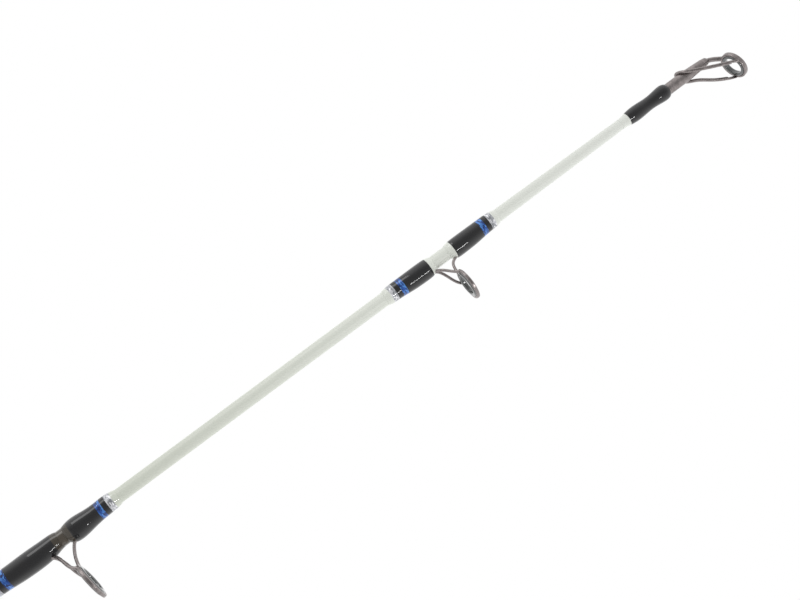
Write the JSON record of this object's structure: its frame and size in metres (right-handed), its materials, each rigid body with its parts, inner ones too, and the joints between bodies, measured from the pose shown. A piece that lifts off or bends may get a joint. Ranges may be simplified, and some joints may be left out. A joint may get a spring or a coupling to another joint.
{
  "type": "spinning rod",
  "caption": "Two-piece spinning rod: white solid tip in a smoky hollow blank, wire-framed ring guides, blue and silver trimmed wraps, foam grips and a screw reel seat.",
  "frame": {"origin": "centre of the butt cap's end face, on the rod's axis", "axes": "+Z along the rod from butt to tip, +X towards the reel and the line guides, +Y across"},
  "size_m": [0.0745, 0.0332, 1.9744],
  "materials": {
    "white_glass_tip": "translucent pale greenish-white solid fibreglass, satin gloss",
    "brown_glass_blank": "smoky dark brown fibreglass tube, glossy clear coat",
    "clear_epoxy": "clear high-gloss rod finish epoxy",
    "blue_metallic_thread": "metallic blue winding thread under epoxy",
    "silver_metallic_thread": "metallic silver winding thread under epoxy",
    "black_thread": "black nylon winding thread under epoxy",
    "gunmetal_wire": "polished gunmetal-plated steel wire",
    "dark_ceramic": "dark grey-green polished ceramic",
    "anodised_aluminium": "turned and anodised, gunmetal",
    "black_foam_grip": "closed-cell foam, matt with fine pores",
    "black_rubber": "moulded rubber, matt",
    "black_graphite_seat": "graphite-filled nylon, semi-gloss",
    "black_moulded_nut": "graphite-filled nylon, fluted",
    "stainless_hood": "brushed stainless steel",
    "arbor_foam": "rigid foam shims"
  },
  "bodies": {
    "butt_section": {"butt_cap": "black_rubber", "butt_section_blank": "brown_glass_blank", "fixed_hood": "stainless_hood", "foregrip": "black_foam_grip", "handle_epoxy": "clear_epoxy", "handle_thread": "black_thread", "handle_trim_blue": "blue_metallic_thread", "handle_trim_silver": "silver_metallic_thread", "hook_keeper": "gunmetal_wire", "rear_grip": "black_foam_grip", "rear_trim_ring": "anodised_aluminium", "reel_seat_body": "black_graphite_seat", "seat_arbors": "arbor_foam", "winding_check": "anodised_aluminium"},
    "tip_section": {"ferrule_epoxy": "clear_epoxy", "ferrule_thread": "black_thread", "ferrule_trim_blue": "blue_metallic_thread", "ferrule_trim_silver": "silver_metallic_thread", "guide_1_epoxy": "clear_epoxy", "guide_1_frame": "gunmetal_wire", "guide_1_ring": "dark_ceramic", "guide_1_thread": "black_thread", "guide_1_trim_blue": "blue_metallic_thread", "guide_1_trim_silver": "silver_metallic_thread", "guide_2_epoxy": "clear_epoxy", "guide_2_frame": "gunmetal_wire", "guide_2_ring": "dark_ceramic", "guide_2_thread": "black_thread", "guide_2_trim_blue": "blue_metallic_thread", "guide_2_trim_silver": "silver_metallic_thread", "guide_3_epoxy": "clear_epoxy", "guide_3_frame": "gunmetal_wire", "guide_3_ring": "dark_ceramic", "guide_3_thread": "black_thread", "guide_3_trim_blue": "blue_metallic_thread", "guide_3_trim_silver": "silver_metallic_thread", "guide_4_epoxy": "clear_epoxy", "guide_4_frame": "gunmetal_wire", "guide_4_ring": "dark_ceramic", "guide_4_thread": "black_thread", "guide_4_trim_blue": "blue_metallic_thread", "guide_4_trim_silver": "silver_metallic_thread", "guide_5_epoxy": "clear_epoxy", "guide_5_frame": "gunmetal_wire", "guide_5_ring": "dark_ceramic", "guide_5_thread": "black_thread", "guide_5_trim_blue": "blue_metallic_thread", "guide_5_trim_silver": "silver_metallic_thread", "solid_tip": "white_glass_tip", "tip_section_blank": "brown_glass_blank", "tip_top_epoxy": "clear_epoxy", "tip_top_frame": "gunmetal_wire", "tip_top_ring": "dark_ceramic", "tip_top_thread": "black_thread", "tip_top_tube": "gunmetal_wire"},
    "reel_hood": {"sliding_hood": "stainless_hood"},
    "hood_nut": {"hood_nut": "black_moulded_nut"}
  },
  "joints": [
    {"name": "ferrule_slide", "type": "slide", "parent": "butt_section", "child": "tip_section", "axis": [0, 0, 1], "range_m": [0, 0.07]},
    {"name": "hood_slide", "type": "slide", "parent": "butt_section", "child": "reel_hood", "axis": [0, 0, -1], "range_m": [0, 0.02]},
    {"name": "nut_turn", "type": "hinge", "parent": "reel_hood", "child": "hood_nut", "pos_m": [0, 0, 0.4593], "axis": [0, 0, -1], "range_deg": [0, 3240]}
  ],
  "couplings": [
    {"joint": "hood_slide", "follows": "nut_turn", "m_per_rad": 0.00031831}
  ]
}
